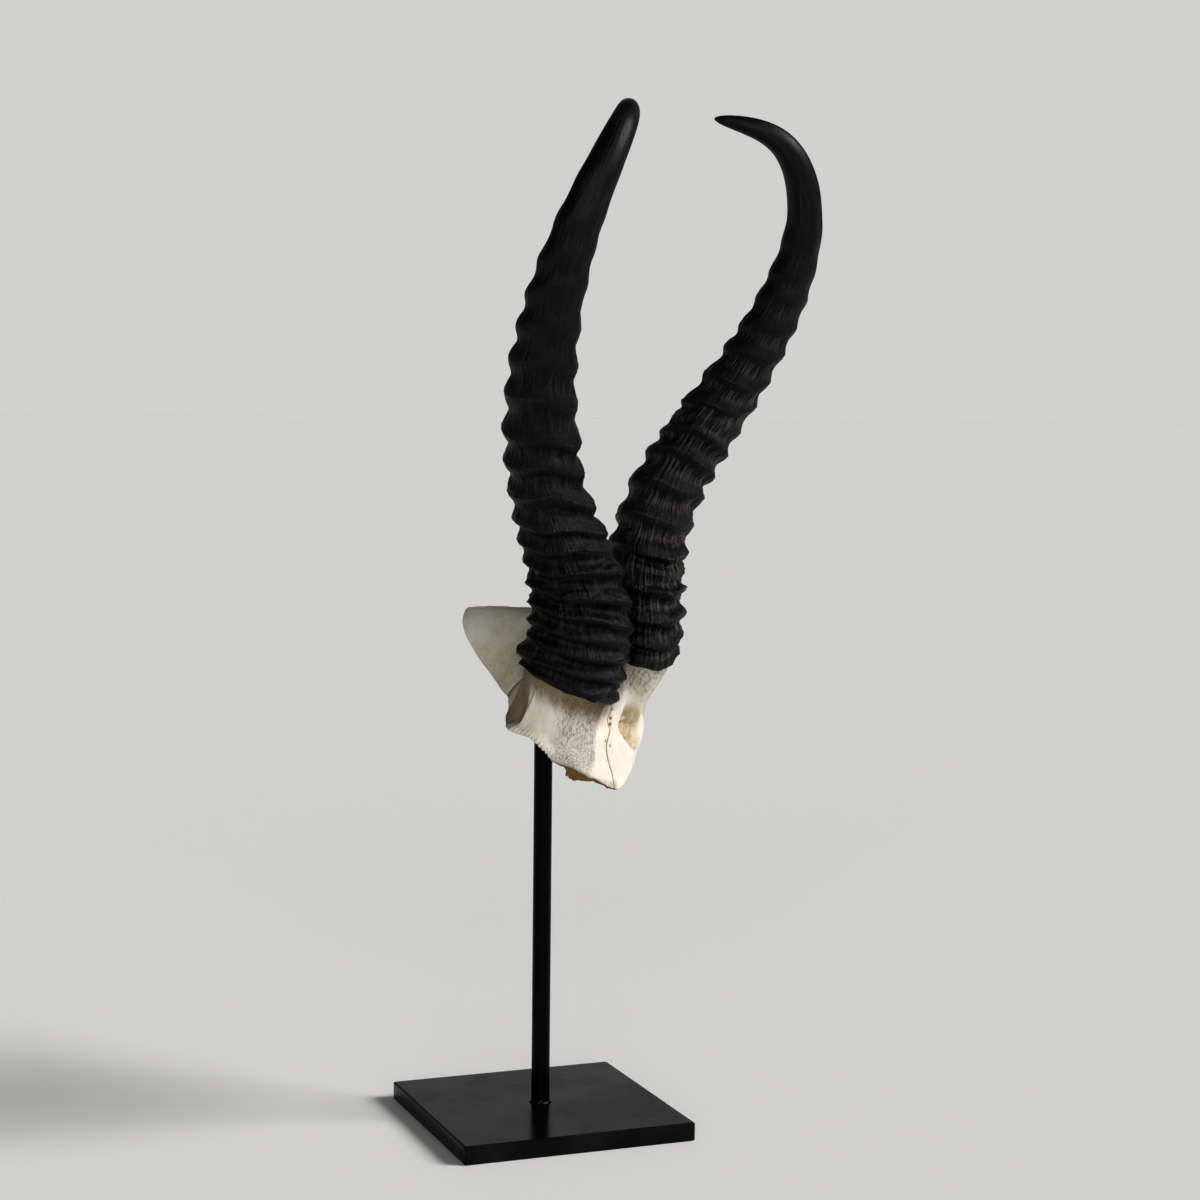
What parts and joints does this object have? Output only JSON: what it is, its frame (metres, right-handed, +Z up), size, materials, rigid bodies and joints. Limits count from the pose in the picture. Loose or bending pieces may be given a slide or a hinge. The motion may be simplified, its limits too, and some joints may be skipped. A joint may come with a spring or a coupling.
{
  "type": "mounted antelope horns",
  "caption": "Pair of short ringed lyre-shaped antelope horns on their sawn skull cap, held up by a slim black steel rod on a square base plate; a table ornament.",
  "frame": {"origin": "middle of the base plate's underside, on the rod's axis", "axes": "+Z up along the rod; +X and +Y square to the plate's sides; the skull faces 26.5 degrees round from -Y towards +X"},
  "size_m": [0.1999, 0.2088, 0.5435],
  "materials": {
    "black_steel": "satin black powder coat on mild steel, faint fine texture, edges slightly worn",
    "bone": "bleached dry bone, cream white, fine pores and fibres, tan staining in the hollows and on broken edges",
    "horn": "natural black horn, matt and fibrous between the rings, smooth with a soft sheen at the tips"
  },
  "bodies": {
    "root": {"base_plate": "black_steel", "post": "black_steel", "skull_cap": "bone", "horn_right": "horn", "horn_left": "horn"}
  },
  "joints": []
}
